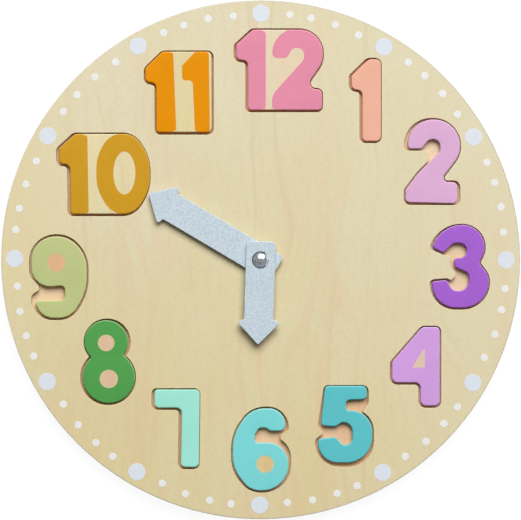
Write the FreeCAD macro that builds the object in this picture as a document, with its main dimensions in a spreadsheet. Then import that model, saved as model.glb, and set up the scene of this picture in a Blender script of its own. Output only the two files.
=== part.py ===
import FreeCAD, Part
import math
import os
import Sketcher
from FreeCAD import Vector

# Puzzle teaching clock: a round board with twelve loose numbers in recesses and two hands on a rivet.
# Frame: the board lies flat and face up, Z up, 12 o'clock towards +Y, 3 o'clock towards +X.
# The origin is the middle of the board's underside. Lengths are in millimetres.

doc = FreeCAD.newDocument("puzzle_clock")

# Driving dimensions
sizes = [
    ("board_diameter", 300, "both boards, glued face to face"),
    ("backing_thickness", 5, "plywood under the recesses"),
    ("face_thickness", 3, "plywood that the recesses are cut through"),
    ("rim_round", 0.8, "sanded outer edge of each board"),
    ("recess_edge_round", 0.3, "sanded upper edge of each recess"),
    ("number_gap", 1, "play all round a number in its recess"),
    ("number_rise", 0.5, "how far a number stands out of its recess, for a fingertip"),
    ("number_edge_round", 0.7, "rounded edges of a number, face and back"),
    ("hand_thickness", 1.5, "both hands"),
    ("hand_width", 16.9, "stem of both hands"),
    ("tail_length", 10.6, "from the pivot to the square end"),
    ("head_width", 25.4, "across the barbs, corner to corner"),
    ("head_length", 13.2, "from the barbs' corners to the tip"),
    ("shoulder_rake", 1.4, "how far the neck lies behind the barbs' corners"),
    ("minute_hand_length", 75, "from the pivot to the tip"),
    ("hour_hand_length", 49, "from the pivot to the tip"),
    ("tip_round", 1, "plan radius at the tip"),
    ("barb_round", 1.4, "plan radius at the barbs"),
    ("neck_round", 1.2, "plan radius between stem and head"),
    ("tail_round", 2.4, "plan radius at the square end"),
    ("hand_edge_round", 0.3, "softened edges of the hands"),
    ("shank_diameter", 4, "rivet shank"),
    ("rivet_head_diameter", 10, "domed head"),
    ("rivet_head_height", 2.4, "domed head"),
    ("set_end_diameter", 6.4, "rolled end of the rivet"),
    ("set_end_thickness", 0.7, "rolled end of the rivet"),
    ("set_end_round", 0.25, "rolled end of the rivet"),
    ("rivet_bore_diameter", 2.6, "hollow end of the shank"),
    ("rivet_bore_depth", 5, "hollow end of the shank"),
    ("spacer_diameter", 12, "washer under the minute hand"),
    ("spacer_thickness", 2.1, "washer under the minute hand"),
    ("hand_washer_diameter", 12, "washer between the hands"),
    ("hand_washer_thickness", 0.3, "washer between the hands"),
    ("clinch_diameter", 10, "washer at the back"),
    ("clinch_thickness", 0.8, "washer at the back"),
    ("counterbore_gap", 0.5, "round the clinch washer in its counterbore"),
    ("floor_clearance", 0.4, "from the rivet's set end to the floor"),
    ("hole_clearance", 0.1, "radial, shank in boards and washers"),
    ("running_clearance", 0.06, "radial, shank in the hands"),
    ("end_float", 0.05, "along the rivet, above and below each hand"),
]

# The numbers are drawn to suit the board: 46.3 mm high on one of 300 mm.
number_height_share = 46.3 / 300

# Outlines of the numbers on a squared drawing: each corner is (right, up, radius)
# in squares of an eightieth of the number height, from the middle of the number, clockwise.
square_share = 0.0125

number_shares = {
    "number_01": [(-14.6, 24.1, 4), (2.6, 40.8, 7), (14.7, 40.8, 5.2), (14.7, -40.9, 5),
                  (-3.9, -40.9, 4.5), (-3.9, 9.4, 5), (-14.6, 11.3, 5)],
    "number_02": [(-25.3, 41.8, 25), (26.9, 41.8, 26), (26.9, 6.9, 26), (5.9, -20.5, 4.5),
                  (24.3, -20.8, 5), (24.1, -42, 4.5), (-27.7, -40.8, 4.5), (-27.7, -28.8, 6),
                  (-15.9, -12.9, 20), (7, 9.9, 7), (7, 22.2, 7), (-4, 22.2, 7.5),
                  (-11.6, 12.7, 4), (-25.2, 12.7, 3.4)],
    "number_03": [(-19.4, 41.6, 31), (23.8, 41.6, 22.4), (23.8, 13.8, 22.4), (18.2, 3.8, 4),
                  (28.1, -8.9, 20), (28.1, -41.1, 28), (-28.5, -41.1, 24), (-28.5, -15, 3),
                  (-14.1, -13.4, 3.5), (-8, -24.3, 9), (8.4, -24.3, 10.5), (8.4, -6.4, 6.5),
                  (-6.3, -0.2, 4), (-6.3, 8.7, 3.3), (6.2, 8.7, 7.5), (6.2, 23.6, 8),
                  (-7.2, 23.6, 8), (-17.1, 13.7, 3), (-28.2, 19.1, 2.5)],
    "number_04": [(6.4, 39.3, 6), (23.6, 39.3, 4), (23.6, -39.1, 5), (4.4, -39.1, 5.5),
                  (4.4, -16, 5.5), (-24, -16, 5.5), (-24, 4.4, 5)],
    "number_05": [(-20.1, 38.6, 4), (21.7, 38.6, 5), (21.7, 25.5, 4.5), (0.7, 24.7, 4.5),
                  (0.7, 13.9, 3.5), (27, 14.1, 21), (27, -38, 25.5), (-27, -38, 19.7),
                  (-27, -14.6, 3.5), (-9.5, -12.3, 5), (-2.8, -20.5, 6), (7.4, -20.5, 7.5),
                  (7.4, 2.3, 9.5), (-3.5, 2.3, 5), (-9.5, -1.8, 5), (-24.4, -0.9, 3.5)],
    "number_06": [(-8.9, 41, 26), (24.7, 41, 17), (24.7, 18.7, 6), (10, 18.7, 5),
                  (5, 21.9, 5), (-1.4, 21.9, 5), (-5.8, 15, 6), (-5.8, 6.8, 3.5),
                  (27.9, 6.8, 21), (27.9, -40.9, 26), (-10.8, -40.9, 20), (-27.9, -18.4, 36),
                  (-27.9, 15.4, 46)],
    "number_07": [(-22.9, 38.6, 3.3), (22.3, 38.6, 4.5), (21.4, -38.8, 4.5), (3.4, -38.8, 4.5),
                  (4.3, 20.5, 5.5), (-22.9, 20.5, 4.5)],
    "number_08": [(-21.9, 41.5, 21.6), (21.5, 41.5, 21.4), (21.5, 12.9, 21.4), (16, 5.5, 2.4),
                  (26.1, -4.1, 26.1), (26.1, -41.3, 26.1), (-26.1, -41.3, 26.1), (-26.1, -4.1, 26.1),
                  (-16, 5.5, 2.4), (-21.9, 12.7, 21.4)],
    "number_09": [(-27.6, 40.9, 24), (10.4, 40.9, 27.2), (27.7, 20.8, 35), (27.7, -14.5, 52),
                  (11.9, -40.5, 21), (-15.8, -40.5, 17.5), (-25.3, -23.2, 3), (6.1, -23, 5.5),
                  (6.1, -7.8, 4.5), (-7, -9.1, 20), (-27.6, -9.1, 19)],
    "number_10": [(-45.3, 25.2, 5), (-29.3, 39.9, 6), (30, 40, 20.8), (45.4, 16.6, 46),
                  (45.4, -16.6, 46), (30, -40, 20.8), (-33.8, -40, 3.5), (-34.3, 9, 5.5),
                  (-45.3, 10.5, 4.5)],
    "number_11": [(-33, 23.8, 6), (-15.8, 40.3, 6), (33.2, 40.3, 5), (33.4, -40.2, 4.5),
                  (-22, -40.2, 3.5), (-22.2, 9, 5.5), (-33, 10.4, 5)],
    "number_12": [(-43.2, 24.8, 3.5), (-26.6, 40.1, 6), (43.2, 40.1, 23), (43.2, 7.6, 23),
                  (24.4, -19.4, 6.5), (42.3, -19.4, 4.5), (42.3, -40.1, 4), (-31.6, -40.1, 3.5),
                  (-31.6, 9, 5), (-43.2, 10.6, 5)],
}

# Five recesses don't follow their number into its narrow slots: the same drawing, before the gap is added.
plain_recess_shares = {
    "number_02": [(-27.5, 42.1, 25.5), (26.1, 42.1, 26), (26.1, 7.2, 26), (5.4, -20.4, 4.3),
                  (25.3, -20.2, 5), (25.3, -41.5, 4.5), (-27.6, -41.1, 4.5), (-27.6, -28.2, 6),
                  (-15.4, -11.9, 20), (-2.7, 0.8, 6), (-2.7, 13, 6), (-27.5, 13, 3)],
    "number_03": [(-20.7, 41.3, 31), (23.2, 41.3, 22.2), (23.2, 14.4, 22.2), (17.6, 4, 4),
                  (27.5, -8.9, 20), (27.5, -40.8, 28), (-29, -40.8, 24.5), (-29, -14.2, 3),
                  (-13.5, -13, 3), (-9.7, -16.3, 5), (-3.6, -9.7, 5), (-3.6, -4.5, 5),
                  (-8.5, 1.5, 6), (-8.5, 13.3, 5), (-15.7, 13.3, 4), (-29, 19.4, 2.5)],
    "number_05": [(-19.7, 38.1, 3.5), (21.7, 38.1, 4.5), (21.7, 23.2, 3), (14.9, 13.4, 3),
                  (26.9, 3.6, 21), (26.9, -40, 24.5), (-28.3, -40, 23.2), (-28.3, -15.5, 3.5),
                  (-19.6, -8.5, 4), (-25.4, 0.3, 3)],
    "number_06": [(-8.9, 41.5, 26), (26.2, 41.5, 19), (26.2, 20.8, 3), (18, 16.8, 5),
                  (18, 9.8, 5), (28.6, 2.5, 20), (28.6, -41, 26.5), (-11.2, -41, 24),
                  (-27.8, -19.4, 35), (-27.8, 15.4, 45)],
    "number_09": [(-28, 41.9, 25), (10.9, 41.9, 27), (27.7, 21, 35), (27.7, -13.9, 50),
                  (12, -40.4, 21), (-15.9, -40.4, 17.5), (-25.8, -26.1, 6), (-25.8, -18, 3.5),
                  (-18.2, -13.3, 3), (-18.2, -7.7, 3), (-28, 3.1, 12)],
}

# Middle of each recess, right and up in shares of the board's radius.
recess_place_shares = {
    "number_01": (0.403, 0.614), "number_02": (0.665, 0.377), "number_03": (0.771, -0.028),
    "number_04": (0.598, -0.413), "number_05": (0.326, -0.637), "number_06": (0, -0.733),
    "number_07": (-0.325, -0.651), "number_08": (-0.589, -0.394), "number_09": (-0.777, -0.070),
    "number_10": (-0.606, 0.329), "number_11": (-0.316, 0.644), "number_12": (0.070, 0.730),
}

# How a loose number lies in its recess: right and up in eightieths of the number height.
resting_place_shares = {
    "number_01": (1, 0.2), "number_02": (0, 0.5), "number_03": (0, 0.5), "number_04": (0.3, 0.5),
    "number_05": (0, 0.5), "number_06": (0, 0.5), "number_07": (1.2, 0.5), "number_08": (0, 0.2),
    "number_09": (0, 0.5), "number_10": (1.1, 0.5), "number_11": (-0.2, 0.7), "number_12": (0.8, 0.5),
}

# Angles in degrees, counterclockwise seen from above.
recess_lean = {"number_08": 1.2}
resting_turn = {"number_08": 2.8}
minute_hand_angle = -300.6
hour_hand_angle = -181.8

sheet = doc.addObject("Spreadsheet::Sheet", "Sizes")
for row, (alias, value, note) in enumerate(sizes, start=1):
    sheet.set(f"A{row}", alias)
    sheet.set(f"B{row}", str(value))
    sheet.setAlias(f"B{row}", alias)
    sheet.set(f"C{row}", note)
doc.recompute()


def size(alias):
    """A driving dimension, read from the sheet."""
    return float(sheet.get(alias))


# Heights along the rivet, from the floor up
face_level = size("backing_thickness") + size("face_thickness")
minute_hand_level = face_level + size("spacer_thickness") + size("end_float")
hand_washer_level = minute_hand_level + size("hand_thickness") + size("end_float")
hour_hand_level = hand_washer_level + size("hand_washer_thickness") + size("end_float")
rivet_head_level = hour_hand_level + size("hand_thickness") + size("end_float")
set_end_level = size("floor_clearance")
clinch_level = set_end_level + size("set_end_thickness")
counterbore_depth = clinch_level + size("clinch_thickness")
drawing_square = size("board_diameter") * number_height_share * square_share

# Where the board reaches between a recess's bowls, its tip stays twice as round as its upper edge.
least_nib_radius = 2 * size("recess_edge_round")

# Lengths below this count as nothing
line_tolerance = 1e-4


def corners_from(shares, unit):
    """Corners of a drawn outline at their real size."""
    return [(right * unit, up * unit, radius * unit) for right, up, radius in shares]


def turned(corners, angle, right=0, up=0):
    """Corners turned about the drawing's middle by an angle in degrees, then moved."""
    cosine = math.cos(math.radians(angle))
    sine = math.sin(math.radians(angle))
    return [(x * cosine - y * sine + right, x * sine + y * cosine + up, radius)
            for x, y, radius in corners]


def directions(corners):
    """Unit vector of each side, from its corner to the next one."""
    sides = []
    for index, (x, y, radius) in enumerate(corners):
        next_x, next_y, next_radius = corners[(index + 1) % len(corners)]
        sides.append(Vector(next_x - x, next_y - y, 0).normalize())
    return sides


def grown(corners, gap):
    """The outline moved outwards by a gap; the corners run clockwise."""
    sides = directions(corners)
    moved = []
    for index, (x, y, radius) in enumerate(corners):
        before = sides[index - 1]
        after = sides[index]
        normal_before = Vector(-before.y, before.x, 0)
        normal_after = Vector(-after.y, after.x, 0)
        reach = gap / (1 + normal_before.dot(normal_after))
        shift = (normal_before + normal_after) * reach
        is_outer = before.cross(after).z < 0
        new_radius = radius + gap if is_outer else max(radius - gap, least_nib_radius)
        moved.append((x + shift.x, y + shift.y, new_radius))
    return moved


def rounded_outline(corners):
    """Lines and tangent arcs round the corners, each radius no larger than its two sides allow."""
    count = len(corners)
    points = [Vector(x, y, 0) for x, y, radius in corners]
    sides = directions(corners)
    reaches = []
    for index, (x, y, radius) in enumerate(corners):
        turn = sides[index - 1].getAngle(sides[index])
        reaches.append(radius * math.tan(turn / 2))
    limited = list(reaches)
    for index in range(count):
        following = (index + 1) % count
        length = points[index].distanceToPoint(points[following])
        wanted = reaches[index] + reaches[following]
        if wanted > length:
            limited[index] = min(limited[index], reaches[index] * length / wanted)
            limited[following] = min(limited[following], reaches[following] * length / wanted)
    shapes = []
    for index in range(count):
        following = (index + 1) % count
        start = points[index] - sides[index - 1] * limited[index]
        end = points[index] + sides[index] * limited[index]
        turn = sides[index - 1].getAngle(sides[index])
        inward = (sides[index] - sides[index - 1]).normalize()
        radius = limited[index] / math.tan(turn / 2)
        middle = points[index] + inward * (radius / math.cos(turn / 2) - radius)
        shapes.append(Part.Arc(start, middle, end))
        line_end = points[following] - sides[index] * limited[following]
        if end.distanceToPoint(line_end) > line_tolerance:
            shapes.append(Part.LineSegment(end, line_end))
    return shapes


def origin_plane(body, role):
    """One of a body's own origin planes."""
    return next(plane for plane in body.Origin.OriginFeatures if plane.Role == role)


def new_body(name):
    body = doc.addObject("PartDesign::Body", name)
    body.Label = name
    return body


def new_sketch(body, name, role="XY_Plane"):
    sketch = body.newObject("Sketcher::SketchObject", name)
    sketch.AttachmentSupport = (origin_plane(body, role), [""])
    sketch.MapMode = "FlatFace"
    return sketch


def add_circle(sketch, expression, name):
    """A circle about the sketch's origin, drawn at the shank's size; its diameter follows the sheet."""
    drawn_diameter = size("shank_diameter")
    circle = Part.Circle(Vector(0, 0, 0), Vector(0, 0, 1), drawn_diameter / 2)
    index = sketch.addGeometry(circle, False)
    sketch.addConstraint(Sketcher.Constraint("Coincident", index, 3, -1, 1))
    diameter = sketch.addConstraint(Sketcher.Constraint("Diameter", index, drawn_diameter))
    sketch.renameConstraint(diameter, name)
    sketch.setExpression(f"Constraints.{name}", expression)


def pad(body, sketch, name, length):
    feature = body.newObject("PartDesign::Pad", name)
    feature.Profile = sketch
    feature.setExpression("Length", length)
    sketch.Visibility = False
    doc.recompute()
    return feature


def pocket(body, sketch, name, length=None, towards_solid=True):
    """A cut that has to take material away; through everything if it has no length."""
    before = body.Tip.Shape.Volume
    feature = body.newObject("PartDesign::Pocket", name)
    feature.Profile = sketch
    feature.Reversed = towards_solid
    if length is None:
        feature.Type = "ThroughAll"
    else:
        feature.setExpression("Length", length)
    doc.recompute()
    if feature.Shape.Volume >= before:
        raise RuntimeError(f"{name} cuts nothing")
    return feature


def face_names(shape, level, face_up):
    """Names of the flat faces that lie at a height and face up or down."""
    wanted = 1 if face_up else -1
    names = []
    for number, face in enumerate(shape.Faces, start=1):
        if not isinstance(face.Surface, Part.Plane):
            continue
        normal = face.normalAt(0, 0)
        if normal.z * wanted > 0.99 and abs(face.CenterOfMass.z - level) < line_tolerance:
            names.append(f"Face{number}")
    return names


def edge_names(shape, edges):
    """Names, in a shape, of edges taken from its faces."""
    return [f"Edge{number}" for number, edge in enumerate(shape.Edges, start=1)
            if any(edge.isSame(other) for other in edges)]


def fillet(body, name, base, names, radius):
    feature = body.newObject("PartDesign::Fillet", name)
    feature.Base = (base, names)
    feature.setExpression("Radius", radius)
    doc.recompute()
    return feature


def wire_edges(shape, level, outer):
    """Names of the edges of the upper face's outer wire, or of all its inner wires."""
    name = face_names(shape, level, True)[0]
    face = shape.getElement(name)
    if outer:
        edges = face.OuterWire.Edges
    else:
        edges = [edge for wire in face.Wires if not wire.isSame(face.OuterWire) for edge in wire.Edges]
    return edge_names(shape, edges)


def washer(name, diameter, hole, thickness, level):
    """A flat ring about the rivet, standing on a level."""
    body = new_body(name)
    sketch = new_sketch(body, f"{name}_sketch")
    add_circle(sketch, f"Sizes.{diameter}", "outside")
    add_circle(sketch, hole, "hole")
    pad(body, sketch, f"{name}_pad", f"Sizes.{thickness}")
    body.Placement.Base = Vector(0, 0, level)
    return body


shank_hole = "Sizes.shank_diameter + 2 * Sizes.hole_clearance"
pivot_hole = "Sizes.shank_diameter + 2 * Sizes.running_clearance"

# Backing board: a plain disc, counterbored underneath for the rivet's set end
backing = new_body("backing_board")
backing_rim = new_sketch(backing, "backing_rim")
add_circle(backing_rim, "Sizes.board_diameter", "rim")
backing_disc = pad(backing, backing_rim, "backing_disc", "Sizes.backing_thickness")
underside = face_names(backing_disc.Shape, 0, False)
backing_round = fillet(backing, "backing_round", backing_disc, underside, "Sizes.rim_round")
counterbore_circle = new_sketch(backing, "counterbore_circle")
add_circle(counterbore_circle, "Sizes.clinch_diameter + 2 * Sizes.counterbore_gap", "counterbore")
depth = "Sizes.floor_clearance + Sizes.set_end_thickness + Sizes.clinch_thickness"
pocket(backing, counterbore_circle, "counterbore", depth)
backing_hole = new_sketch(backing, "backing_hole")
add_circle(backing_hole, shank_hole, "hole")
pocket(backing, backing_hole, "backing_bore")

# Face board: a disc with twelve recesses cut right through it, and the rivet's hole
face = new_body("face_board")
face_rim = new_sketch(face, "face_rim")
add_circle(face_rim, "Sizes.board_diameter", "rim")
face_disc = pad(face, face_rim, "face_disc", "Sizes.face_thickness")
rim_edge = wire_edges(face_disc.Shape, size("face_thickness"), True)
fillet(face, "face_round", face_disc, rim_edge, "Sizes.rim_round")
recess_places = {}
recess_outlines = new_sketch(face, "recess_outlines")
for name, (right_share, up_share) in recess_place_shares.items():
    place = Vector(right_share, up_share, 0) * (size("board_diameter") / 2)
    recess_places[name] = place
    shares = plain_recess_shares.get(name, number_shares[name])
    drawn = grown(corners_from(shares, drawing_square), size("number_gap"))
    outline = turned(drawn, recess_lean.get(name, 0), place.x, place.y)
    recess_outlines.addGeometry(rounded_outline(outline), False)
pocket(face, recess_outlines, "recesses")
face_hole = new_sketch(face, "face_hole")
upper_edges = wire_edges(face.Tip.Shape, size("face_thickness"), False)
fillet(face, "recess_rounds", face.Tip, upper_edges, "Sizes.recess_edge_round")
add_circle(face_hole, shank_hole, "hole")
pocket(face, face_hole, "face_bore")
face.Placement.Base = Vector(0, 0, size("backing_thickness"))

# Twelve loose numbers, each standing on the backing board in its recess
number_thickness = size("face_thickness") + size("number_rise")
numbers = []
for name, shares in number_shares.items():
    number = new_body(name)
    outline = new_sketch(number, f"{name}_outline")
    outline.addGeometry(rounded_outline(corners_from(shares, drawing_square)), False)
    plate = pad(number, outline, f"{name}_plate", "Sizes.face_thickness + Sizes.number_rise")
    flats = face_names(plate.Shape, number_thickness, True) + face_names(plate.Shape, 0, False)
    fillet(number, f"{name}_rounds", plate, flats, "Sizes.number_edge_round")
    right, up = resting_place_shares[name]
    place = recess_places[name] + Vector(right, up, 0) * drawing_square
    angle = recess_lean.get(name, 0) + resting_turn.get(name, 0)
    number.Placement = FreeCAD.Placement(place + Vector(0, 0, size("backing_thickness")),
                                         FreeCAD.Rotation(Vector(0, 0, 1), angle))
    numbers.append(number)


def hand(name, length_name, level, angle):
    """An arrow hand, drawn pointing to 12 with its pivot at the origin, then turned to its time."""
    half_stem = size("hand_width") / 2
    half_head = size("head_width") / 2
    length = size(length_name)
    barb_up = length - size("head_length")
    neck_up = barb_up - size("shoulder_rake")
    tail_up = -size("tail_length")
    corners = [(0, length, size("tip_round")),
               (half_head, barb_up, size("barb_round")),
               (half_stem, neck_up, size("neck_round")),
               (half_stem, tail_up, size("tail_round")),
               (-half_stem, tail_up, size("tail_round")),
               (-half_stem, neck_up, size("neck_round")),
               (-half_head, barb_up, size("barb_round"))]
    body = new_body(name)
    outline = new_sketch(body, f"{name}_outline")
    outline.addGeometry(rounded_outline(corners), False)
    plate = pad(body, outline, f"{name}_plate", "Sizes.hand_thickness")
    flats = face_names(plate.Shape, size("hand_thickness"), True) + face_names(plate.Shape, 0, False)
    fillet(body, f"{name}_rounds", plate, flats, "Sizes.hand_edge_round")
    pivot = new_sketch(body, f"{name}_pivot")
    add_circle(pivot, pivot_hole, "hole")
    pocket(body, pivot, f"{name}_bore")
    body.Placement = FreeCAD.Placement(Vector(0, 0, level), FreeCAD.Rotation(Vector(0, 0, 1), angle))
    return body


hands = [hand("minute_hand", "minute_hand_length", minute_hand_level, minute_hand_angle),
         hand("hour_hand", "hour_hand_length", hour_hand_level, hour_hand_angle)]

# Washers: under the minute hand, between the hands, and under the rivet's set end
washers = [washer("spacer_washer", "spacer_diameter", shank_hole, "spacer_thickness", face_level),
           washer("hand_washer", "hand_washer_diameter", shank_hole, "hand_washer_thickness",
                  hand_washer_level),
           washer("clinch_washer", "clinch_diameter", shank_hole, "clinch_thickness", clinch_level)]

# Rivet: a domed head, a shank whose end is hollow, and the end rolled outwards over the clinch washer
head_radius = size("rivet_head_diameter") / 2
head_top = rivet_head_level + size("rivet_head_height")
dome_radius = (head_radius ** 2 + size("rivet_head_height") ** 2) / (2 * size("rivet_head_height"))
dome_middle = head_top - dome_radius
half_dome = math.atan2(head_radius, rivet_head_level - dome_middle) / 2
shank_radius = size("shank_diameter") / 2
set_end_radius = size("set_end_diameter") / 2
bore_radius = size("rivet_bore_diameter") / 2
bore_top = set_end_level + size("rivet_bore_depth")
dome_point = Vector(dome_radius * math.sin(half_dome), dome_middle + dome_radius * math.cos(half_dome), 0)
profile_points = [Vector(head_radius, rivet_head_level, 0), Vector(shank_radius, rivet_head_level, 0),
                  Vector(shank_radius, clinch_level, 0), Vector(set_end_radius, clinch_level, 0),
                  Vector(set_end_radius, set_end_level, 0), Vector(bore_radius, set_end_level, 0),
                  Vector(bore_radius, bore_top, 0), Vector(0, bore_top, 0), Vector(0, head_top, 0)]
profile = [Part.LineSegment(start, end) for start, end in zip(profile_points, profile_points[1:])]
profile.append(Part.Arc(profile_points[-1], dome_point, profile_points[0]))
rivet = new_body("rivet")
rivet_profile = new_sketch(rivet, "rivet_profile", "XZ_Plane")
rivet_profile.addGeometry(profile, False)
rivet_turned = rivet.newObject("PartDesign::Revolution", "rivet_turned")
rivet_turned.Profile = rivet_profile
rivet_turned.ReferenceAxis = (rivet_profile, ["V_Axis"])
doc.recompute()
set_end_face = face_names(rivet_turned.Shape, set_end_level, False)
fillet(rivet, "rivet_set_end", rivet_turned, set_end_face, "Sizes.set_end_round")

# Checks, then one file for each piece
doc.recompute()
for item in doc.Objects:
    if "Invalid" in item.State or "Error" in item.State:
        raise RuntimeError(f"{item.Name} is {item.State}")
pieces = [backing, face] + numbers + hands + washers + [rivet]
os.makedirs("parts", exist_ok=True)
for piece in pieces:
    if piece.Shape.isNull() or not piece.Shape.isValid() or len(piece.Shape.Solids) != 1:
        raise RuntimeError(f"{piece.Label} is not one valid solid")
for piece in pieces:
    piece.Shape.exportStep(f"parts/{piece.Label}.step")
    box = piece.Shape.BoundBox
    print(f"{piece.Label}: {piece.Shape.Volume:.1f} mm3, z {box.ZMin:.2f} to {box.ZMax:.2f}")
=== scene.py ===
import math

import bpy
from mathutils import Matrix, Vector


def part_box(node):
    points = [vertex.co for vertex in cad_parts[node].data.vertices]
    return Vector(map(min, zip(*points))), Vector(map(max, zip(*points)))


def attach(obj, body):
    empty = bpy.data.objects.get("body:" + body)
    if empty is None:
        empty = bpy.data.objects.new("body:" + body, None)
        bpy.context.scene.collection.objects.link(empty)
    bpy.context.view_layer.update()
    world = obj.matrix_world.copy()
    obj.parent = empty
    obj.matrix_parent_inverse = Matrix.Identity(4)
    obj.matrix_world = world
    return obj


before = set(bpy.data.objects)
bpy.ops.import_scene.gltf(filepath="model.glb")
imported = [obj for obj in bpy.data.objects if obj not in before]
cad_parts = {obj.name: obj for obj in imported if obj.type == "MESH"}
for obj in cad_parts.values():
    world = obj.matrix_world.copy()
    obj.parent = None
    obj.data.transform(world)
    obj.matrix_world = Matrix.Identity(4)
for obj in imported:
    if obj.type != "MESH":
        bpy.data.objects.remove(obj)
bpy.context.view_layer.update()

# Backing board: a 5 mm plywood disc glued under the face board. It closes the recesses from below,
# so its upper veneer shows as their peach floor. Sawn round, sanded, counterbored for the rivet.
millimetre = 0.001
backing_peach = ((236, 198, 160), (228, 184, 142), (236, 184, 150))
backing_sapwood = ((236, 213, 178), (231, 207, 166), (234, 206, 170))
sapwood_from = 0.06
sapwood_to = 0.095
left_sapwood_from = 0.1
left_sapwood_to = 0.122
underside_tones = ((222, 205, 166), (212, 192, 148), (219, 190, 152))
long_ply = (226, 196, 152)
cross_ply = (198, 156, 114)
glue_line = (140, 102, 70)
glue_half = 0.00004
glue_fade = 0.00012
grain_depth = 0.00003
backing_cross_plies = [(0.001, 0.002), (0.003, 0.004)]
rim_from = 0.1488
rim_to = 0.1493
painted_shade_rim = (150, 146, 136)
painted_light_rim = (254, 247, 228)
heart_streak = (208, 177, 130)
heart_line = 0.041
heart_width = 0.012
arch_lines = 950
arch_lean = 0.07
arch_sway = 13
sway_reach = 0.05


def colour(red, green, blue):
    """A colour as a screen shows it, each channel from 0 to 255."""
    linear = []
    for channel in (red, green, blue):
        share = channel / 255
        linear.append(share / 12.92 if share <= 0.04045 else ((share + 0.055) / 1.055) ** 2.4)
    return (*linear, 1)


class Amount:
    """A value that varies over a surface; arithmetic on it adds Math nodes."""

    def __init__(self, finish, socket):
        self.finish = finish
        self.socket = socket

    def __add__(self, other):
        return self.finish.maths("ADD", self, other)

    def __radd__(self, other):
        return self.finish.maths("ADD", other, self)

    def __sub__(self, other):
        return self.finish.maths("SUBTRACT", self, other)

    def __rsub__(self, other):
        return self.finish.maths("SUBTRACT", other, self)

    def __mul__(self, other):
        return self.finish.maths("MULTIPLY", self, other)

    def __rmul__(self, other):
        return self.finish.maths("MULTIPLY", other, self)


class Finish:
    """The nodes of a material or a world. node() adds any node: its type, settings, and sockets' values."""

    def __init__(self, name, kind=bpy.data.materials):
        self.owner = kind.new(name)
        self.owner.use_nodes = True
        self.tree = self.owner.node_tree
        self.tree.nodes.clear()

    def node(self, kind, settings=None, sockets=None, output=0):
        made = self.tree.nodes.new("ShaderNode" + kind)
        for setting, value in (settings or {}).items():
            setattr(made, setting, value)
        for socket, value in (sockets or {}).items():
            if isinstance(value, Amount):
                self.tree.links.new(value.socket, made.inputs[socket])
            else:
                made.inputs[socket].default_value = value
        return Amount(self, made.outputs[output]) if made.outputs else None

    def maths(self, operation, *values):
        return self.node("Math", {"operation": operation}, dict(enumerate(values)))

    def place(self, shift=(0, 0, 0)):
        """Object coordinates in metres, moved so that no two pieces show the same grain."""
        here = self.node("TexCoord", output="Object")
        return self.node("Mapping", None, {"Vector": here, "Location": shift})

    def noise(self, place, stretch, detail=2, roughness=0.5, distortion=0):
        """Noise from 0 to 1 with that many features to a metre along x, y and z."""
        stretched = self.node("Mapping", None, {"Vector": place, "Scale": stretch})
        return self.node("TexNoise", None, {"Vector": stretched, "Scale": 1, "Detail": detail,
                                            "Roughness": roughness, "Distortion": distortion})

    def between(self, amount, low, high):
        """0 below low, 1 above high, smooth from one to the other."""
        return self.node("MapRange", {"interpolation_type": "SMOOTHSTEP"},
                         {"Value": amount, "From Min": low, "From Max": high})

    def mix(self, share, first, second):
        """Second colour over the first by a share."""
        return self.node("Mix", {"data_type": "RGBA"}, {0: share, 6: first, 7: second}, output=2)

    def along(self, axis):
        """How far along x (0), y (1) or z (2) from the frame's origin, in metres."""
        return self.node("SeparateXYZ", None, {0: self.node("TexCoord", output="Object")}, output=axis)

    def facing(self, axis):
        """How much the surface faces along x (0), y (1) or z (2), from -1 to 1."""
        return self.node("SeparateXYZ", None, {0: self.node("TexCoord", output="Normal")}, output=axis)

    def flatness(self):
        """1 on faces that look up or down, 0 on upright sides."""
        return self.maths("ABSOLUTE", self.facing(2))

    def bump(self, height, depth):
        """The surface's normal over a relief of that depth, in metres."""
        return self.node("Bump", None, {"Height": height, "Distance": depth, "Strength": 1})

    def surface(self, **sockets):
        """The shader, with its sockets named by words joined by underscores."""
        named = {socket.replace("_", " "): value for socket, value in sockets.items()}
        shader = self.node("BsdfPrincipled", None, named)
        self.node("OutputMaterial", None, {0: shader})
        return self.owner


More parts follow.
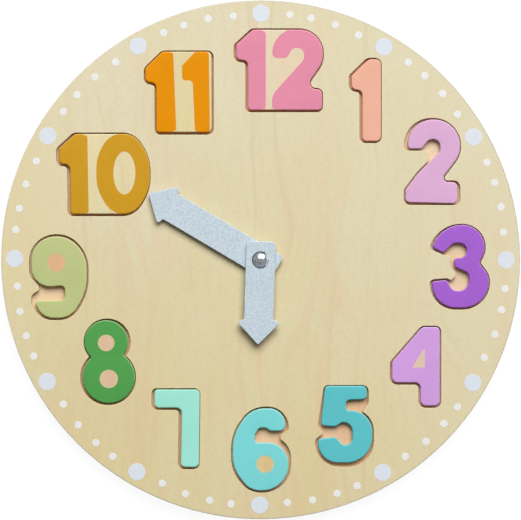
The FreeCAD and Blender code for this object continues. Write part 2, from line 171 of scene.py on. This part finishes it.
def veneer(finish, shift, pale, gold, blush):
    """Plain-sawn veneer running along y: its colour, and its fine threads from 0 to 1."""
    place = finish.place(shift)
    sway = finish.noise(place, (16, 6, 16), 2)
    across, along, level = [finish.node("SeparateXYZ", None, {0: place}, output=axis) for axis in range(3)]
    swayed_across = across + sway * sway_reach
    swayed = finish.node("CombineXYZ", None, {0: swayed_across, 1: along, 2: level})
    clouds = finish.noise(swayed, (20, 7, 20), 2, 0.5, 0.6)
    flames = finish.noise(swayed, (52, 7, 52), 3, 0.6, 1.4)
    bands = finish.noise(swayed, (190, 14, 190), 3, 0.6, 0.5)
    threads = finish.noise(swayed, (480, 60, 480), 3, 0.65, 0.3)
    mottle = finish.noise(place, (820, 620, 820), 3, 0.7)
    streaks = finish.noise(swayed, (95, 4, 95), 2, 0.5, 0.8)
    from_heart = swayed_across - sway_reach / 2 + heart_line
    spread = finish.maths("SQRT", from_heart * from_heart + heart_width ** 2)
    arches = finish.maths("SINE", spread * arch_lines + along * arch_lines * arch_lean + sway * arch_sway)
    tone = finish.mix(finish.between(clouds, 0.4, 0.62), colour(*gold), colour(*pale))
    tone = finish.mix(finish.between(flames, 0.47, 0.66) * 0.75, tone, colour(*blush))
    tone = finish.mix(finish.between(bands, 0.5, 0.72) * 0.22, tone, colour(*pale))
    tone = finish.mix(finish.between(streaks, 0.6, 0.72) * 0.27, tone, colour(*heart_streak))
    tone = finish.mix(finish.between(arches, 0.55, 1) * 0.3, tone, colour(*pale))
    tone = finish.mix(finish.between(arches, -0.6, -1) * 0.25, tone, colour(*blush))
    shade = finish.between(threads, 0.35, 0.8) * 0.16 + finish.between(mottle, 0.3, 0.75) * 0.45
    return finish.mix(shade, tone, colour(*[channel * 0.93 for channel in gold])), threads


def plywood_board(finish, tone, threads, shift, cross_plies):
    """Sealed veneer above and below, and bare plies with glue lines on the upright sides. The board's
    round edge has painted shade where it leans up the board, and painted light where it leans down."""
    level = finish.along(2)
    cross = 0
    glue = 0
    for low, high in cross_plies:
        inside = finish.between(level, low - glue_half, low + glue_half)
        inside = inside - finish.between(level, high - glue_half, high + glue_half)
        cross = inside + cross
        for line in (low, high):
            distance = finish.maths("ABSOLUTE", level - line)
            glue = (1 - finish.between(distance, glue_half, glue_fade)) + glue
    fibres = finish.noise(finish.place(shift), (1800, 1800, 900), 2, 0.6)
    edge = finish.mix(cross, colour(*long_ply), colour(*cross_ply))
    edge = finish.mix(glue * 0.6, edge, colour(*glue_line))
    edge = finish.mix(finish.between(fibres, 0.3, 0.75) * 0.25, edge, colour(*glue_line))
    flatness = finish.flatness()
    is_side = 1 - finish.between(flatness, 0.1, 0.3)
    tone = finish.mix(is_side, tone, edge)
    across = finish.along(0)
    along = finish.along(1)
    reach = finish.maths("SQRT", across * across + along * along)
    rounded = finish.between(flatness, 0.1, 0.35) * (1 - finish.between(flatness, 0.9, 0.99))
    rim = finish.between(reach, rim_from, rim_to) * rounded
    leaning = finish.facing(1) + finish.facing(0) * 0.4
    # Painted shade on the round edge where it leans up the board, painted light where it leans down
    tone = finish.mix(rim * finish.between(leaning, 0, 0.5) * 0.5, tone, colour(*painted_shade_rim))
    tone = finish.mix(rim * finish.between(leaning, 0, -0.5) * 0.9, tone, colour(*painted_light_rim))
    relief = threads * 0.6 + fibres * is_side
    return finish.surface(Base_Color=tone, Roughness=0.44 + is_side * 0.3 + threads * 0.08,
                          Specular_IOR_Level=0.2, Normal=finish.bump(relief, grain_depth))


backing_shift = (0.12, 0.43, 0)
underside_shift = (0.31, 0.17, 0)
backing_finish = Finish("backing_plywood")
peach, backing_threads = veneer(backing_finish, backing_shift, *backing_peach)
sapwood = veneer(backing_finish, backing_shift, *backing_sapwood)[0]
right_sapwood = backing_finish.between(backing_finish.along(0), sapwood_from, sapwood_to)
left_sapwood = backing_finish.between(backing_finish.along(0), -left_sapwood_from, -left_sapwood_to)
is_sapwood = backing_finish.maths("MAXIMUM", right_sapwood, left_sapwood * 0.8)
recess_tone = backing_finish.mix(is_sapwood, peach, sapwood)
underside = veneer(backing_finish, underside_shift, *underside_tones)[0]
upper_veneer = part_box("backing_board")[1].z - 0.2 * millimetre
is_upper = backing_finish.between(backing_finish.along(2), upper_veneer, upper_veneer + 0.1 * millimetre)
backing_tone = backing_finish.mix(is_upper, underside, recess_tone)
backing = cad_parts["backing_board"]
backing.material_slots[0].material = plywood_board(backing_finish, backing_tone, backing_threads,
                                                   backing_shift, backing_cross_plies)

# Face board: 3 mm birch plywood glued on the backing board. The recesses are routed right through
# it and their edges sanded; the face is sealed with a thin satin varnish, grain from 12 to 6.
face_shift = (0, 0, 0)
# Painted light: lit veneer tones for the top of the face and shaded ones for its foot, for the lamp's
# fall-off
face_lit_top_tones = ((230, 221, 189), (228, 218, 180), (231, 213, 177))
face_shaded_foot_tones = ((226, 213, 170), (225, 209, 158), (227, 200, 157))
# Painted light: a paler, bluer tone for the right side of the face
face_right_painted_light_tone = (227, 217, 184)
face_left_tone = (227, 211, 162)
board_radius = 0.15
face_cross_plies = [(0.006, 0.007)]
face_finish = Finish("face_plywood")
shaded_foot_tone, face_threads = veneer(face_finish, face_shift, *face_shaded_foot_tones)
lit_top_tone = veneer(face_finish, face_shift, *face_lit_top_tones)[0]
# Painted light: the face blends from its shaded foot tones to its lit top tones up the board
painted_light_towards_top = face_finish.between(face_finish.along(1), -board_radius, board_radius)
# Painted light: the face turns paler and bluer towards its right edge
painted_light_towards_right = face_finish.between(face_finish.along(0), 0.3 * board_radius, board_radius)
face_tone = face_finish.mix(painted_light_towards_top, shaded_foot_tone, lit_top_tone)
face_tone = face_finish.mix(painted_light_towards_right * 0.4, face_tone, colour(*face_right_painted_light_tone))
towards_left = face_finish.between(face_finish.along(0), -0.6 * board_radius, -board_radius)
towards_left = towards_left * face_finish.between(face_finish.along(1), -0.4 * board_radius, 0)
face_tone = face_finish.mix(towards_left * 0.6, face_tone, colour(*face_left_tone))
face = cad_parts["face_board"]
face.material_slots[0].material = plywood_board(face_finish, face_tone, face_threads, face_shift,
                                                face_cross_plies)

# Printed dots: a large dot for each hour and four small ones between, in bluish white ink.
# Screen printed on the face board, so each is a thin film with a soft edge.
face_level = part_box("face_board")[1].z
ink_depth = 0.00004
ink_bevel = 0.00012
dot_corners = 40
hours = 12
hour_dot_radius = 0.00495
minute_dot_radius = 0.0021
hour_dot_tone = (223, 230, 237)
minute_dot_tone = (238, 239, 236)
wood_through_ink = (224, 214, 196)
ink_grain_depth = 0.00001

# The first dots of each ring: degrees clockwise from 12, and metres from the ring's middle
hour_dot_places = [(0.16, 0.1421)]
minute_dot_places = [(6.85, 0.1424), (11.86, 0.1424), (17.74, 0.1423), (23.67, 0.1414)]
dots_middle = (-0.0001, 0.00035)
merge_distance = 0.000001


def select_only(piece):
    bpy.ops.object.select_all(action="DESELECT")
    piece.select_set(True)
    bpy.context.view_layer.objects.active = piece


def ink_finish(name, tone):
    """Flat ink that the veneer's grain just shows through."""
    finish = Finish(name)
    place = finish.place()
    grain = finish.noise(place, (620, 16, 620), 2, 0.6)
    mottle = finish.noise(place, (900, 900, 900), 2)
    dull = [channel * 0.93 for channel in tone]
    shaded = finish.mix(finish.between(grain, 0.35, 0.8) * 0.22, colour(*tone), colour(*wood_through_ink))
    shaded = finish.mix(finish.between(mottle, 0.3, 0.8) * 0.25, shaded, colour(*dull))
    return finish.surface(Base_Color=shaded, Roughness=0.4 + mottle * 0.1, Specular_IOR_Level=0.4,
                          Normal=finish.bump(grain, ink_grain_depth))


def printed_dots(name, radius, places, tone):
    """One group of dots, then eleven more copies of it round the board."""
    dots = []
    for angle, reach in places:
        turn = math.radians(90 - angle)
        bpy.ops.object.select_all(action="DESELECT")
        bpy.ops.mesh.primitive_circle_add(vertices=dot_corners, radius=radius, fill_type="NGON",
                                          location=(dots_middle[0] + reach * math.cos(turn),
                                                    dots_middle[1] + reach * math.sin(turn),
                                                    face_level - ink_depth))
        bpy.ops.object.transform_apply(location=True, rotation=True, scale=True)
        bpy.ops.object.mode_set(mode="EDIT")
        bpy.ops.mesh.select_all(action="SELECT")
        bpy.ops.mesh.extrude_region_move(TRANSFORM_OT_translate={"value": (0, 0, 2 * ink_depth)})
        bpy.ops.mesh.inset(thickness=ink_bevel, depth=0.3 * ink_depth)
        bpy.ops.object.mode_set(mode="OBJECT")
        dots.append(bpy.context.active_object)
    bpy.ops.object.select_all(action="DESELECT")
    for dot in dots:
        dot.select_set(True)
    bpy.context.view_layer.objects.active = dots[0]
    if len(dots) > 1:
        bpy.ops.object.join()
    ring = bpy.context.active_object
    ring.name = name
    bpy.ops.object.mode_set(mode="EDIT")
    bpy.ops.mesh.select_all(action="SELECT")
    bpy.ops.mesh.spin(steps=hours, dupli=True, angle=math.radians(360), center=(*dots_middle, 0),
                      axis=(0, 0, 1))
    bpy.ops.mesh.select_all(action="SELECT")
    bpy.ops.mesh.remove_doubles(threshold=merge_distance)
    bpy.ops.mesh.normals_make_consistent(inside=False)
    bpy.ops.object.mode_set(mode="OBJECT")
    ring.data.materials.clear()
    ring.data.materials.append(ink_finish(name + "_ink", tone))
    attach(ring, "root")


printed_dots("hour_dots", hour_dot_radius, hour_dot_places, hour_dot_tone)
printed_dots("minute_dots", minute_dot_radius, minute_dot_places, minute_dot_tone)

# Loose numbers: 3.5 mm birch blanks with rounded edges, one colour of satin paint each. The blank shows
# through inside the 0, 4, 6, 8 and 9 and between the digits, where a stencil kept the paint off.
film_thickness = 0.00005
spray_line = 0.0058
arc_steps = 8
oval_steps = 64
beyond_board = 160
smooth_below = 35
stencil_low = 0.004
stencil_height = 0.006
number_cross_plies = [(0.0057, 0.0064), (0.0071, 0.0078)]

# The paint of each number, and the wood of its blank
number_tones = {
    "number_01": ((243, 181, 156), (226, 190, 150)),
    "number_02": ((224, 176, 213), (226, 190, 150)),
    "number_03": ((168, 100, 208), (226, 190, 150)),
    "number_04": ((213, 162, 226), (229, 206, 182)),
    "number_05": ((96, 197, 202), (226, 190, 150)),
    "number_06": ((127, 218, 216), (229, 204, 148)),
    "number_07": ((163, 234, 214), (226, 190, 150)),
    "number_08": ((84, 162, 81), (226, 196, 161)),
    "number_09": ((193, 202, 136), (235, 187, 142)),
    "number_10": ((209, 156, 36), (236, 222, 175)),
    "number_11": ((234, 147, 0), (232, 217, 166)),
    "number_12": ((232, 144, 169), (235, 218, 185)),
}

# How far the rounded edges facing the lamp are painted pale, partly as painted highlight and partly as
# paint rubbed off, where that differs, and the pale wood tone used
rubbed_wood_and_highlight = (244, 224, 194)
usual_rub_and_highlight = 0.3
edge_rub_and_highlight = {"number_03": 0.45, "number_06": 0.5, "number_08": 0.6, "number_09": 0.6}

# Bare places with straight and rounded sides, in millimetres from the board's middle: right, up, radius.
bare_outlines = {
    "number_04": [[(95, -50.3, 0.5), (95, -62.3, 0.5), (87.5, -62.3, 0.5)]],
    "number_10": [[(-102.4, 77.4, 0), (-102.4, 72.1, 0), (-100.1, 72.1, 1.7), (-99.3, 27, 1.4),
                   (-101.8, 27, 0), (-101.8, 21.9, 0), (-77.8, 21.9, 0), (-77.8, 26.2, 0),
                   (-85.8, 26.2, 13.9), (-94.9, 41.1, 26), (-94.9, 60.9, 26), (-86.2, 73, 12.7),
                   (-77.8, 73, 0), (-77.8, 77.4, 0)]],
    "number_11": [[(-52.7, 124.8, 0), (-52.7, 120, 0), (-50.5, 120, 1.7), (-48.7, 74.3, 1.7),
                   (-50.9, 74.3, 0), (-50.9, 69.3, 0), (-35.6, 69.3, 0), (-35.6, 74, 0),
                   (-37.9, 74, 1.7), (-39.2, 103.7, 2.3), (-45.4, 103.7, 2), (-45.4, 112.2, 1.7),
                   (-36.9, 121.1, 1.7), (-33.9, 121.1, 0), (-33.9, 124.8, 0)],
                  [(-32.4, 124.8, 0), (-32.4, 120.3, 0), (-29.9, 120.3, 1.7), (-29.3, 73.7, 1.7),
                   (-32.1, 73.7, 0), (-32.1, 69.3, 0), (-22.3, 69.3, 0), (-22.3, 124.8, 0)]],
    "number_12": [[(1.1, 137.6, 0), (1.1, 132.3, 0), (3, 132.3, 2.1), (3, 87, 2.1), (1.1, 87, 0),
                   (1.1, 82, 0), (9.2, 82, 0), (9.2, 87, 0), (6.6, 87, 2), (6.6, 95.2, 10.4),
                   (25.2, 115.9, 5.8), (25.2, 122.6, 4), (18.5, 122.5, 3.5), (15.2, 116.6, 2.9),
                   (6.8, 116.6, 2.9), (6.8, 127.1, 13.8), (21.9, 136.9, 0), (21.9, 137.6, 0)]],
}

# Bare round places, in millimetres from the board's middle: right, up, half width, half height.
bare_ovals = {
    "number_06": [(2.6, -118.1, 5.03, 5.03)],
    "number_08": [(-89.2, -48, 4.8, 4.8), (-87.7, -68.8, 5.32, 5.32)],
    "number_09": [(-118, -1.6, 5.21, 5.21)],
    "number_10": [(-78.7, 50.2, 6.36, 12.44)],
}


def rounded_corners(corners):
    """Points along straight sides joined by round corners, each no rounder than its sides allow."""
    points = [Vector((x, y)) for x, y, radius in corners]
    count = len(points)
    sides = [(points[(i + 1) % count] - points[i]) for i in range(count)]
    turns = [sides[i - 1].angle(sides[i]) for i in range(count)]
    reaches = [corners[i][2] * math.tan(turns[i] / 2) for i in range(count)]
    line = []
    for i, point in enumerate(points):
        room_before = sides[i - 1].length / max(reaches[i - 1] + reaches[i], sides[i - 1].length)
        room_after = sides[i].length / max(reaches[i] + reaches[(i + 1) % count], sides[i].length)
        reach = reaches[i] * min(room_before, room_after)
        if reach == 0:
            line.append(point)
            continue
        start = point - sides[i - 1].normalized() * reach
        end = point + sides[i].normalized() * reach
        radius = reach / math.tan(turns[i] / 2)
        inward = (sides[i].normalized() - sides[i - 1].normalized()).normalized()
        middle = point + inward * (radius / math.cos(turns[i] / 2))
        first = math.atan2(start.y - middle.y, start.x - middle.x)
        sweep = math.atan2(end.y - middle.y, end.x - middle.x) - first
        sweep = (sweep + math.pi) % (2 * math.pi) - math.pi
        for step in range(arc_steps + 1):
            angle = first + sweep * step / arc_steps
            line.append(middle + Vector((math.cos(angle), math.sin(angle))) * radius)
    return line


def stencil_prism(line, low, height):
    """An upright block with that outline in millimetres, to cut the paint film with."""
    mesh = bpy.data.meshes.new("stencil")
    corners = [(point.x * millimetre, point.y * millimetre, low) for point in line]
    mesh.from_pydata(corners, [], [list(range(len(corners)))])
    block = bpy.data.objects.new("stencil", mesh)
    bpy.context.scene.collection.objects.link(block)
    select_only(block)
    bpy.ops.object.mode_set(mode="EDIT")
    bpy.ops.mesh.select_all(action="SELECT")
    bpy.ops.mesh.extrude_region_move(TRANSFORM_OT_translate={"value": (0, 0, height)})
    bpy.ops.mesh.select_all(action="SELECT")
    bpy.ops.mesh.normals_make_consistent(inside=False)
    bpy.ops.object.mode_set(mode="OBJECT")
    return block


def oval_line(right, up, half_width, half_height):
    """Points round an oval, in the units of its sizes."""
    angles = [math.radians(360) * step / oval_steps for step in range(oval_steps)]
    return [Vector((right + half_width * math.cos(a), up + half_height * math.sin(a))) for a in angles]


def bare_birch(name, tone, shift):
    """The blank's own birch, sanded smooth, with its plies on the sides."""
    gold = [channel * 0.975 for channel in tone]
    blush = (tone[0], tone[1] * 0.97, tone[2] * 0.95)
    finish = Finish(name)
    shade, threads = veneer(finish, shift, tone, gold, blush)
    return plywood_board(finish, shade, threads, shift, number_cross_plies)


def paint_finish(name, tone, shift, rub_and_highlight):
    """Satin paint: slightly uneven, with a painted highlight, partly paint rubbed thin, on rounded edges
    facing the lamp.
    """
    finish = Finish(name)
    place = finish.place(shift)
    cloud = finish.noise(place, (60, 45, 60), 3, 0.6)
    peel = finish.noise(place, (700, 700, 700), 3, 0.6)
    grain = finish.noise(place, (520, 20, 520), 2)
    deep = [channel * 0.955 for channel in tone]
    thin_and_lit = [channel * 0.45 + wood * 0.55 for channel, wood in zip(tone, rubbed_wood_and_highlight)]
    shaded = finish.mix(finish.between(cloud, 0.3, 0.75) * 0.5, colour(*tone), colour(*deep))
    shaded = finish.mix(finish.between(peel, 0.35, 0.75) * 0.3, shaded, colour(*deep))
    flatness = finish.flatness()
    shoulder = (1 - finish.between(flatness, 0.8, 0.985)) * finish.between(flatness, 0.15, 0.4)
    lamp_facing_side = finish.between(finish.facing(1) + finish.facing(0) * 0.3, -0.3, 0.4)
    worn = finish.noise(place, (240, 240, 240), 2)
    # Painted highlight: shoulders facing the lamp go towards pale wood, partly the lamp's sheen and partly
    # paint rubbed thin
    shaded = finish.mix(shoulder * lamp_facing_side * (rub_and_highlight + worn * 0.4), shaded, colour(*thin_and_lit))
    relief = peel * 0.5 + grain * 0.6
    return finish.surface(Base_Color=shaded, Roughness=0.45 + peel * 0.12, Specular_IOR_Level=0.08,
                          Normal=finish.bump(relief, grain_depth))


def paint_film(name, tone, shift):
    """The blank's own surface, a paint's thickness further out, cut away at the stencilled places."""
    film = bpy.data.objects.new(f"{name}_paint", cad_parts[name].data.copy())
    bpy.context.scene.collection.objects.link(film)
    select_only(film)
    bpy.ops.mesh.customdata_custom_splitnormals_clear()
    bpy.ops.object.mode_set(mode="EDIT")
    bpy.ops.mesh.select_all(action="SELECT")
    bpy.ops.mesh.remove_doubles(threshold=2 * merge_distance)
    bpy.ops.mesh.normals_make_consistent(inside=False)
    bpy.ops.transform.shrink_fatten(value=film_thickness)
    bpy.ops.object.mode_set(mode="OBJECT")
    lines = [rounded_corners(outline) for outline in bare_outlines.get(name, [])]
    lines += [oval_line(*oval) for oval in bare_ovals.get(name, [])]
    stencils = [stencil_prism(line, stencil_low, stencil_height) for line in lines]
    stencils.append(stencil_prism(oval_line(0, 0, beyond_board, beyond_board), 0, spray_line))
    for stencil in stencils:
        select_only(film)
        cut = film.modifiers.new("stencilled", "BOOLEAN")
        cut.operation = "DIFFERENCE"
        cut.solver = "EXACT"
        cut.object = stencil
        bpy.ops.object.modifier_apply(modifier=cut.name)
        bpy.data.objects.remove(stencil)
    bpy.ops.object.shade_smooth_by_angle(angle=math.radians(smooth_below))
    film.data.materials.clear()
    rub_and_highlight = edge_rub_and_highlight.get(name, usual_rub_and_highlight)
    film.data.materials.append(paint_finish(f"{name}_satin_paint", tone, shift, rub_and_highlight))
    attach(film, name)


for index, (name, (paint_tone, wood_tone)) in enumerate(number_tones.items()):
    grain_shift = (0.37 * index, 0.23 * index, 0)
    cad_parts[name].material_slots[0].material = bare_birch(f"{name}_birch", wood_tone, grain_shift)
    paint_film(name, paint_tone, grain_shift)

# Hands: two flat arrows punched from 1.5 mm silver-grey plastic, the minute hand under the hour hand.
# Their edges are softened, and fine metallic flakes in the plastic give a quiet speckle.
hand_tone = (201, 215, 222)
hand_dark_fleck = (164, 180, 192)
hand_bright_fleck = (239, 246, 248)
fleck_depth = 0.00002
hand_shifts = {"minute_hand": (0, 0, -0.0002), "hour_hand": (0.2, 0.1, 0.3003)}


def flaked_plastic(name, shift):
    """Silver-grey plastic with darker and brighter flakes, a little metallic where they lie flat."""
    finish = Finish(name)
    place = finish.place(shift)
    flakes = finish.noise(place, (1700, 1700, 1700), 3, 0.75)
    glints = finish.noise(place, (2600, 2600, 2600), 1)
    cloud = finish.noise(place, (90, 90, 90), 2)
    tone = finish.mix(1 - finish.between(flakes, 0.3, 0.52), colour(*hand_tone), colour(*hand_dark_fleck))
    tone = finish.mix(finish.between(flakes, 0.52, 0.72), tone, colour(*hand_bright_fleck))
    tone = finish.mix(cloud * 0.2, tone, colour(*hand_dark_fleck))
    return finish.surface(Base_Color=tone, Roughness=0.38 + glints * 0.18, Metallic=glints * 0.25,
                          Specular_IOR_Level=0.5, Normal=finish.bump(flakes, fleck_depth))


for hand, shift in hand_shifts.items():
    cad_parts[hand].material_slots[0].material = flaked_plastic(f"{hand}_plastic", shift)

# Pivot: a polished domed steel rivet set over a zinc-plated washer at the back. White nylon washers
# under and between the hands let each turn by itself.
steel_tone = (214, 222, 230)
steel_stain_and_reflection = (120, 118, 120)
painted_dark_reflection_tone = (104, 110, 116)
steel_stain_depth = 0.0002
zinc_tone = (188, 190, 192)
zinc_spangle = (160, 163, 168)
brushed_depth = 0.00002
nylon_tone = (233, 232, 226)
nylon_shade = (218, 216, 206)
nylon_depth = 0.00001


def polished_steel(name):
    """Scuffed polished steel; its stains are partly painted reflection, and its foot has a painted dark
    reflection.
    """
    finish = Finish(name)
    place = finish.place()
    scuffs = finish.noise(place, (3200, 500, 900), 3, 0.7)
    stains_and_reflections = finish.noise(place, (420, 420, 420), 3, 0.6)
    # Partly painted reflection: dark stains that also stand in for the dome's mottled dark reflections
    tone = finish.mix(finish.between(stains_and_reflections, 0.45, 0.72) * 0.8, colour(*steel_tone), colour(*steel_stain_and_reflection))
    # Painted reflection: the dome's foot is darkened, except where it faces right, where the lamp's glint
    # falls
    dark_reflection_mask = 1 - finish.between(finish.flatness(), 0.74, 0.86)
    dark_reflection_mask = dark_reflection_mask * (1 - finish.between(finish.facing(0), 0.4, 0.52))
    tone = finish.mix(dark_reflection_mask, tone, colour(*painted_dark_reflection_tone))
    return finish.surface(Base_Color=tone, Metallic=1, Roughness=0.1 + scuffs * 0.14,
                          Normal=finish.bump(stains_and_reflections, steel_stain_depth))


def plated_washer(name):
    """Zinc plating with a faint spangle, brushed one way."""
    finish = Finish(name)
    place = finish.place()
    brushed = finish.noise(place, (200, 4200, 4200), 2, 0.6)
    spangle = finish.noise(place, (500, 500, 500), 2)
    tone = finish.mix(finish.between(spangle, 0.35, 0.7) * 0.5, colour(*zinc_tone), colour(*zinc_spangle))
    return finish.surface(Base_Color=tone, Metallic=0.9, Roughness=0.3 + brushed * 0.2,
                          Normal=finish.bump(brushed, brushed_depth))


def moulded_nylon(name):
    """Matt white nylon with a fine moulded grain."""
    finish = Finish(name)
    place = finish.place()
    grain = finish.noise(place, (1500, 1500, 1500), 2)
    tone = finish.mix(grain * 0.5, colour(*nylon_tone), colour(*nylon_shade))
    return finish.surface(Base_Color=tone, Roughness=0.5 + grain * 0.1,
                          Normal=finish.bump(grain, nylon_depth))


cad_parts["rivet"].material_slots[0].material = polished_steel("rivet_steel")
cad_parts["clinch_washer"].material_slots[0].material = plated_washer("washer_zinc")
for washer in ("spacer_washer", "hand_washer"):
    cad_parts[washer].material_slots[0].material = moulded_nylon(f"{washer}_nylon")

# Studio: a pale floor, white surroundings and a dim ceiling that shows only in mirrored views. One
# large soft lamp stands above the 12 and a little to the right, and the camera looks straight down.
photo_width = 521
photo_scale = 0.00057844
camera_height = 1.6
rim_level = 0.0068
sensor_width = 36
ambient_share = 0.12
key_share = 1.04
key_place = Vector((0.61, 3.15, 3.83))
key_width = 4.4
key_depth = 3.2
key_tone = (0.99, 0.995, 1.02)
ceiling_level = 4.9
ceiling_size = 26
ceiling_tone = 0.36
floor_size = 6
floor_gap = 0.00003
floor_glow = 0.935
floor_tone = (0.8, 0.8, 0.8, 1)
floor_shadow_tone = (0.09, 0.09, 0.09, 1)
ambient_tone = (1, 0.98, 0.94, 1)
white = (1, 1, 1, 1)
camera_reach = 20
camera_off_middle = (-0.00004, -0.00011)


def seen_directly(finish):
    """1 for the camera and for mirrored and refracted views, 0 for the light that falls on the clock."""
    ray = finish.node("LightPath", output="Is Camera Ray")
    glossy_ray = finish.node("LightPath", output="Is Glossy Ray")
    clear_ray = finish.node("LightPath", output="Is Transmission Ray")
    return finish.maths("MAXIMUM", ray, finish.maths("MAXIMUM", glossy_ray, clear_ray))


bpy.ops.object.select_all(action="DESELECT")
bpy.ops.mesh.primitive_plane_add(size=floor_size, location=(0, 0, -floor_gap))
floor = bpy.context.active_object
floor.name = "studio_floor"
floor_finish = Finish("floor_white")
seen = seen_directly(floor_finish)
matt = floor_finish.node("BsdfDiffuse", None, {"Color": floor_tone})
shadow_matt = floor_finish.node("BsdfDiffuse", None, {"Color": floor_shadow_tone})
glow = floor_finish.node("Emission", None, {"Color": white, "Strength": floor_glow})
shadowed_white = floor_finish.node("AddShader", None, {0: shadow_matt, 1: glow})
floor_shader = floor_finish.node("MixShader", None, {0: seen, 1: matt, 2: shadowed_white})
floor_finish.node("OutputMaterial", None, {0: floor_shader})
floor.data.materials.append(floor_finish.owner)

bpy.ops.object.select_all(action="DESELECT")
bpy.ops.mesh.primitive_plane_add(size=ceiling_size, location=(0, 0, ceiling_level))
ceiling = bpy.context.active_object
ceiling.name = "studio_ceiling"
ceiling_finish = Finish("ceiling_dark")
dim = ceiling_finish.node("Emission", None, {"Color": white, "Strength": ceiling_tone})
ceiling_finish.node("OutputMaterial", None, {0: dim})
ceiling.data.materials.append(ceiling_finish.owner)
ceiling.visible_camera = False
ceiling.visible_diffuse = False
ceiling.visible_transmission = False
ceiling.visible_shadow = False

surroundings = Finish("studio", bpy.data.worlds)
bpy.context.scene.world = surroundings.owner
ambient = surroundings.node("Background", None, {"Color": ambient_tone, "Strength": ambient_share})
backdrop = surroundings.node("Background", None, {"Color": white, "Strength": 1})
mixed = surroundings.node("MixShader", None, {0: seen_directly(surroundings), 1: ambient, 2: backdrop})
surroundings.node("OutputWorld", None, {"Surface": mixed})

key_data = bpy.data.lights.new("key_light", "AREA")
key_data.shape = "RECTANGLE"
key_data.size = key_width
key_data.size_y = key_depth
# At a share of 1 the lamp alone would make a flat white face render as white
slant = key_place.z / key_place.length
key_data.energy = key_share * math.pi ** 2 * key_place.length_squared / slant
key_data.color = key_tone
key = bpy.data.objects.new("key_light", key_data)
key.location = key_place
key.rotation_euler = (-key_place).to_track_quat("-Z", "Y").to_euler()
bpy.context.scene.collection.objects.link(key)

camera_data = bpy.data.cameras.new("camera")
camera_data.sensor_width = sensor_width
camera_data.lens = sensor_width * (camera_height - rim_level) / (photo_width * photo_scale)
camera_data.clip_end = camera_reach
camera = bpy.data.objects.new("camera", camera_data)
camera.location = (*camera_off_middle, camera_height)
bpy.context.scene.collection.objects.link(camera)
bpy.context.scene.camera = camera
bpy.context.scene.view_settings.view_transform = "Standard"
